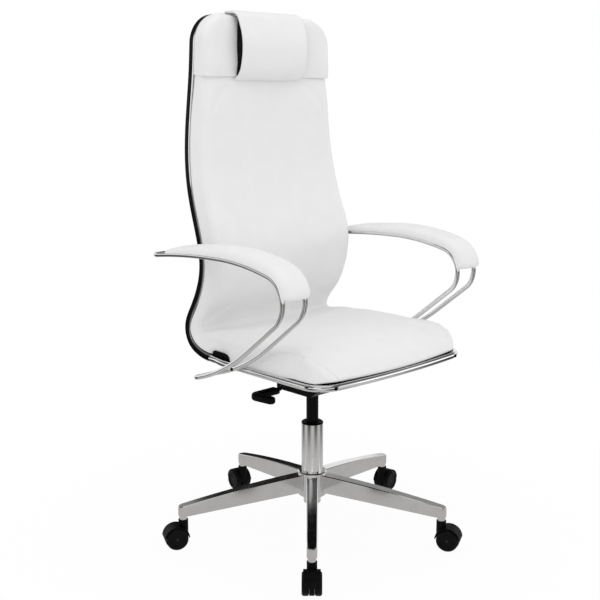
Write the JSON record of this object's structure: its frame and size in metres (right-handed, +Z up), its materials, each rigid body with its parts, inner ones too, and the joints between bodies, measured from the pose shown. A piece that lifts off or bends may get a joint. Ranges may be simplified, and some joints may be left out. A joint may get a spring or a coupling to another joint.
{
  "type": "swivel office chair",
  "caption": "High-backed swivel office chair with white pads on a curved black shell, chrome arm loops, gas-lift column, tilt mechanism and star base on twin-wheel castors.",
  "frame": {"origin": "on the floor under the middle of the gas column", "axes": "+Z up, the sitter faces -Y, the sitter's left is +X"},
  "size_m": [0.6767, 0.6753, 1.1913],
  "materials": {
    "black_plastic": "black moulded plastic, satin",
    "castor_tread": "black nylon wheel, satin",
    "steel": "plain steel",
    "polished_metal": "polished aluminium",
    "black_paint": "black paint, semi-gloss",
    "black_shell": "black moulded shell, satin",
    "chrome": "bright chrome plate",
    "black_screws": "black oxide",
    "white_leather": "white leatherette, matt with a fine grain"
  },
  "bodies": {
    "base": {"base_star": "polished_metal", "stand_tube": "chrome", "guide_bush": "black_plastic", "thrust_bearing": "steel", "castor_stems": "steel", "stem_grip_rings": "steel"},
    "rod": {"piston_rod": "steel", "rod_clip": "steel"},
    "mechanism": {"gas_cylinder": "black_paint", "mechanism_housing": "black_paint", "tilt_axle": "steel", "tilt_spring": "steel"},
    "seat": {"seat_plate": "black_paint", "seat_screws": "steel", "shell": "black_shell", "trim_strip": "chrome", "seat_tube": "chrome", "tube_bolts": "black_screws", "arm_bolts": "black_screws", "side_insert_left": "black_plastic", "side_insert_right": "black_plastic", "seat_cushion": "white_leather", "back_cushion": "white_leather", "head_pad": "white_leather", "head_band": "white_leather", "band_core": "black_plastic", "arm_loop_left": "chrome", "arm_loop_right": "chrome", "arm_rest_left": "white_leather", "arm_rest_right": "white_leather"},
    "lever_pivot": {"lever_block": "black_plastic"},
    "lever": {"lever_bar": "steel", "lever_grip": "black_plastic"},
    "pin": {"release_pin": "steel"},
    "castor_1": {"castor_hood_1": "black_plastic", "castor_axle_1": "steel"},
    "wheel_1_left": {"castor_wheel_1_left": "castor_tread"},
    "wheel_1_right": {"castor_wheel_1_right": "castor_tread"},
    "castor_2": {"castor_hood_2": "black_plastic", "castor_axle_2": "steel"},
    "wheel_2_left": {"castor_wheel_2_left": "castor_tread"},
    "wheel_2_right": {"castor_wheel_2_right": "castor_tread"},
    "castor_3": {"castor_hood_3": "black_plastic", "castor_axle_3": "steel"},
    "wheel_3_left": {"castor_wheel_3_left": "castor_tread"},
    "wheel_3_right": {"castor_wheel_3_right": "castor_tread"},
    "castor_4": {"castor_hood_4": "black_plastic", "castor_axle_4": "steel"},
    "wheel_4_left": {"castor_wheel_4_left": "castor_tread"},
    "wheel_4_right": {"castor_wheel_4_right": "castor_tread"},
    "castor_5": {"castor_hood_5": "black_plastic", "castor_axle_5": "steel"},
    "wheel_5_left": {"castor_wheel_5_left": "castor_tread"},
    "wheel_5_right": {"castor_wheel_5_right": "castor_tread"}
  },
  "joints": [
    {"name": "swivel", "type": "hinge", "parent": "base", "child": "rod", "pos_m": [0, 0, 0.25], "axis": [0, 0, 1], "continuous": true},
    {"name": "seat_lift", "type": "slide", "parent": "rod", "child": "mechanism", "axis": [0, 0, 1], "range_m": [-0.06, 0.05]},
    {"name": "seat_tilt", "type": "hinge", "parent": "mechanism", "child": "seat", "pos_m": [0, -0.07, 0.409], "axis": [-1, 0, 0], "range_deg": [0, 15], "stiffness_Nm_per_rad": 420, "springref_deg": -8.02, "deforming": ["tilt_spring"]},
    {"name": "lever_lift", "type": "hinge", "parent": "mechanism", "child": "lever_pivot", "pos_m": [-0.036, 0, 0.3923], "axis": [0, 1, 0], "range_deg": [0, 5], "stiffness_Nm_per_rad": 8, "springref_deg": -3.44},
    {"name": "lever_pull", "type": "slide", "parent": "lever_pivot", "child": "lever", "axis": [-1, 0, 0], "range_m": [0, 0.012]},
    {"name": "pin_press", "type": "slide", "parent": "mechanism", "child": "pin", "axis": [0, 0, -1], "range_m": [0, 0.0036]},
    {"name": "castor_1_swivel", "type": "hinge", "parent": "base", "child": "castor_1", "pos_m": [-0.21626, -0.2193, 0.06], "axis": [0, 0, 1], "continuous": true},
    {"name": "castor_1_left_roll", "type": "hinge", "parent": "castor_1", "child": "wheel_1_left", "pos_m": [-0.2282, -0.23141, 0.025], "axis": [0.712, -0.7022, 0], "continuous": true},
    {"name": "castor_1_right_roll", "type": "hinge", "parent": "castor_1", "child": "wheel_1_right", "pos_m": [-0.2282, -0.23141, 0.025], "axis": [0.712, -0.7022, 0], "continuous": true},
    {"name": "castor_2_swivel", "type": "hinge", "parent": "base", "child": "castor_2", "pos_m": [0.14174, -0.27345, 0.06], "axis": [0, 0, 1], "continuous": true},
    {"name": "castor_2_left_roll", "type": "hinge", "parent": "castor_2", "child": "wheel_2_left", "pos_m": [0.14957, -0.28854, 0.025], "axis": [0.8878, 0.4602, 0], "continuous": true},
    {"name": "castor_2_right_roll", "type": "hinge", "parent": "castor_2", "child": "wheel_2_right", "pos_m": [0.14957, -0.28854, 0.025], "axis": [0.8878, 0.4602, 0], "continuous": true},
    {"name": "castor_3_swivel", "type": "hinge", "parent": "base", "child": "castor_3", "pos_m": [0.30386, 0.0503, 0.06], "axis": [0, 0, 1], "continuous": true},
    {"name": "castor_3_left_roll", "type": "hinge", "parent": "castor_3", "child": "wheel_3_left", "pos_m": [0.32064, 0.05308, 0.025], "axis": [-0.1633, 0.9866, 0], "continuous": true},
    {"name": "castor_3_right_roll", "type": "hinge", "parent": "castor_3", "child": "wheel_3_right", "pos_m": [0.32064, 0.05308, 0.025], "axis": [-0.1633, 0.9866, 0], "continuous": true},
    {"name": "castor_4_swivel", "type": "hinge", "parent": "base", "child": "castor_4", "pos_m": [0.04606, 0.30454, 0.06], "axis": [0, 0, 1], "continuous": true},
    {"name": "castor_4_left_roll", "type": "hinge", "parent": "castor_4", "child": "wheel_4_left", "pos_m": [0.0486, 0.32135, 0.025], "axis": [-0.9888, 0.1495, 0], "continuous": true},
    {"name": "castor_4_right_roll", "type": "hinge", "parent": "castor_4", "child": "wheel_4_right", "pos_m": [0.0486, 0.32135, 0.025], "axis": [-0.9888, 0.1495, 0], "continuous": true},
    {"name": "castor_5_swivel", "type": "hinge", "parent": "base", "child": "castor_5", "pos_m": [-0.2754, 0.13791, 0.06], "axis": [0, 0, 1], "continuous": true},
    {"name": "castor_5_left_roll", "type": "hinge", "parent": "castor_5", "child": "wheel_5_left", "pos_m": [-0.2906, 0.14552, 0.025], "axis": [-0.4478, -0.8942, 0], "continuous": true},
    {"name": "castor_5_right_roll", "type": "hinge", "parent": "castor_5", "child": "wheel_5_right", "pos_m": [-0.2906, 0.14552, 0.025], "axis": [-0.4478, -0.8942, 0], "continuous": true}
  ],
  "couplings": [
    {"joint": "pin_press", "follows": "lever_lift", "m_per_rad": 0.0405}
  ]
}
